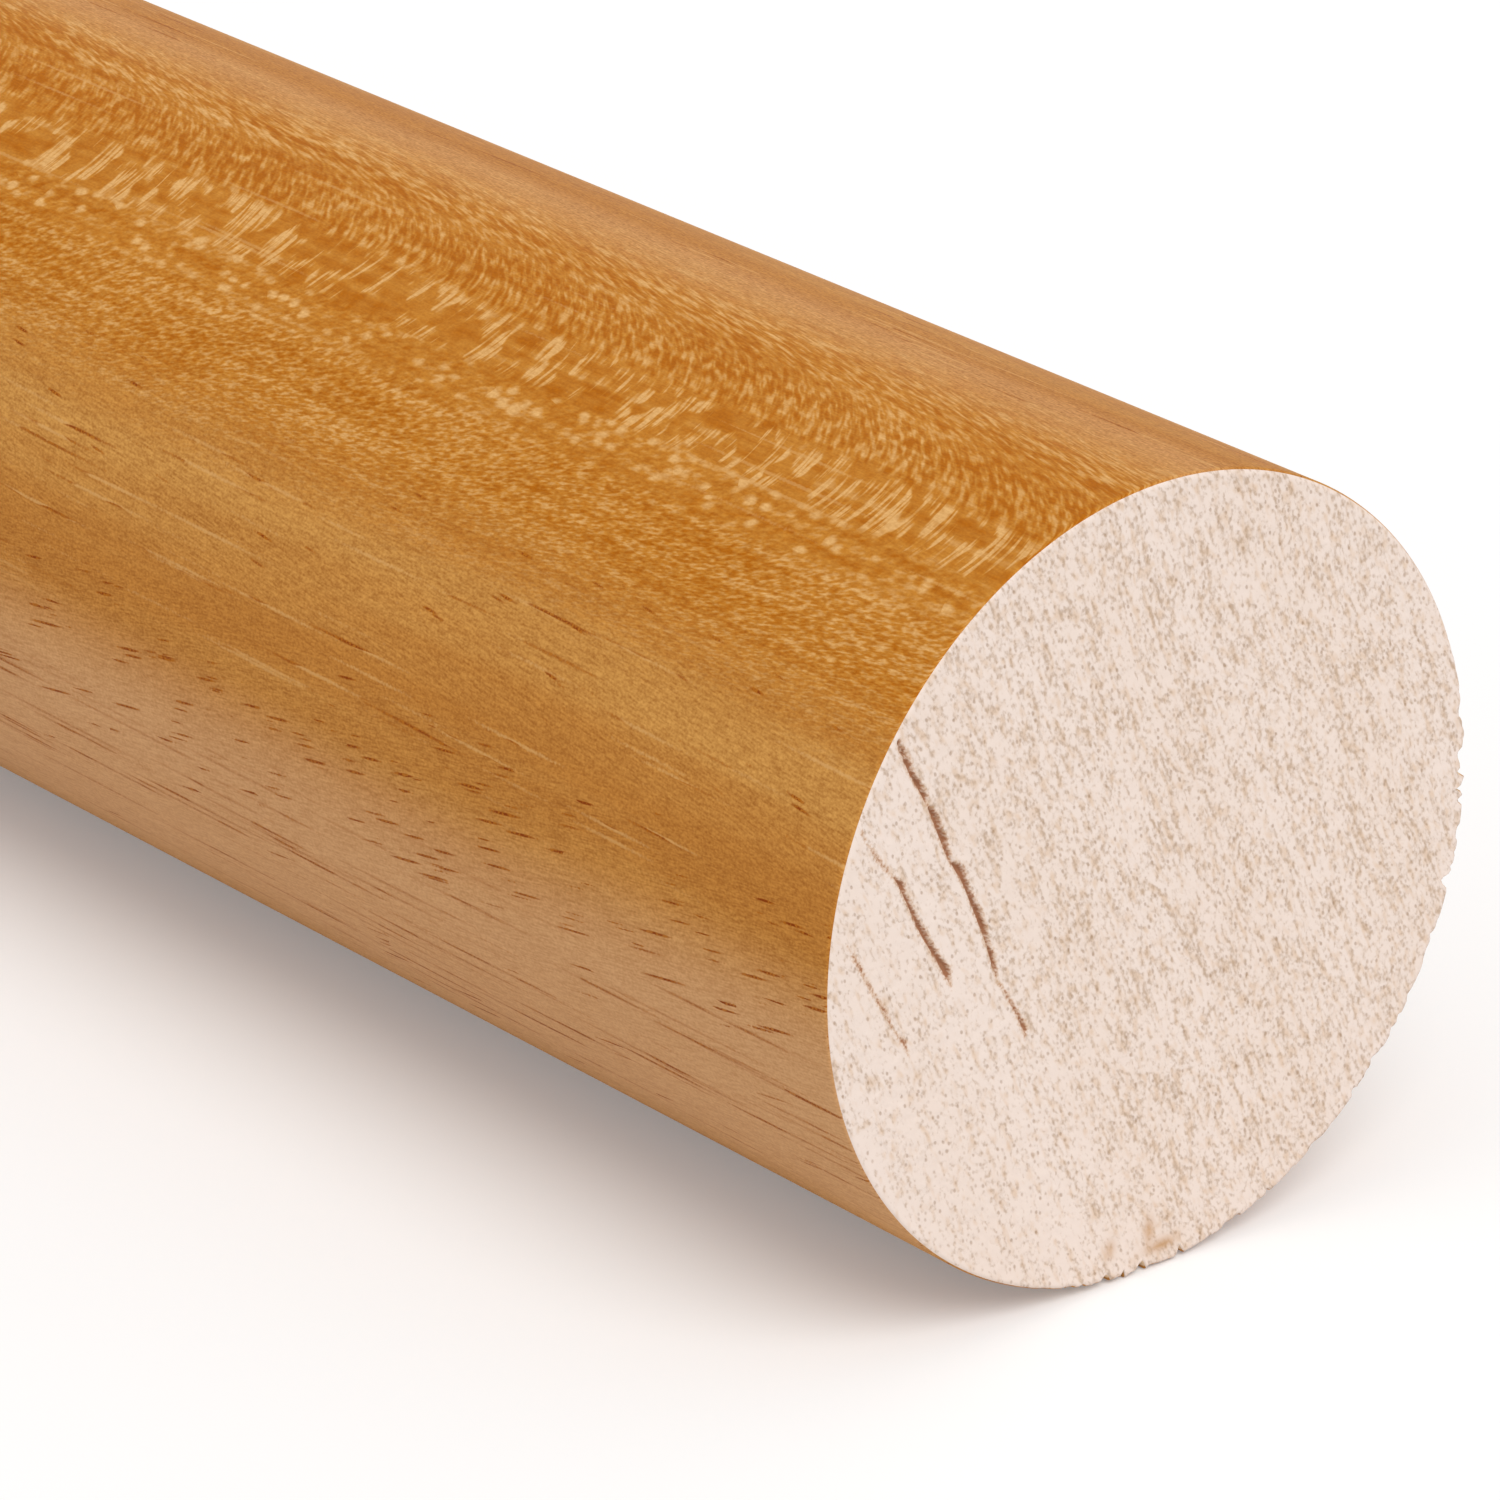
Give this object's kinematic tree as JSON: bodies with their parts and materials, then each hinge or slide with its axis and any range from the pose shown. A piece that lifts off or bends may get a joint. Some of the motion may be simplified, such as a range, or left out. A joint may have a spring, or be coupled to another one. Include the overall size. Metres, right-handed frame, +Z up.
{
  "type": "stair handrail length",
  "caption": "Full-round hardwood stair handrail, one straight stock length with square sawn ends, clear satin lacquered round its length and bare on its end grain.",
  "frame": {"origin": "on the floor under the rail's axis, midway along its length", "axes": "+X along the rail towards the pictured sawn end, +Y level across it, +Z up"},
  "size_m": [1.5, 0.0448, 0.045],
  "materials": {
    "lacquered_hardwood": "clear satin lacquer on golden tan hardwood with ray flecks, sawn end grain left bare and pale"
  },
  "bodies": {
    "root": {"round_handrail": "lacquered_hardwood"}
  },
  "joints": []
}
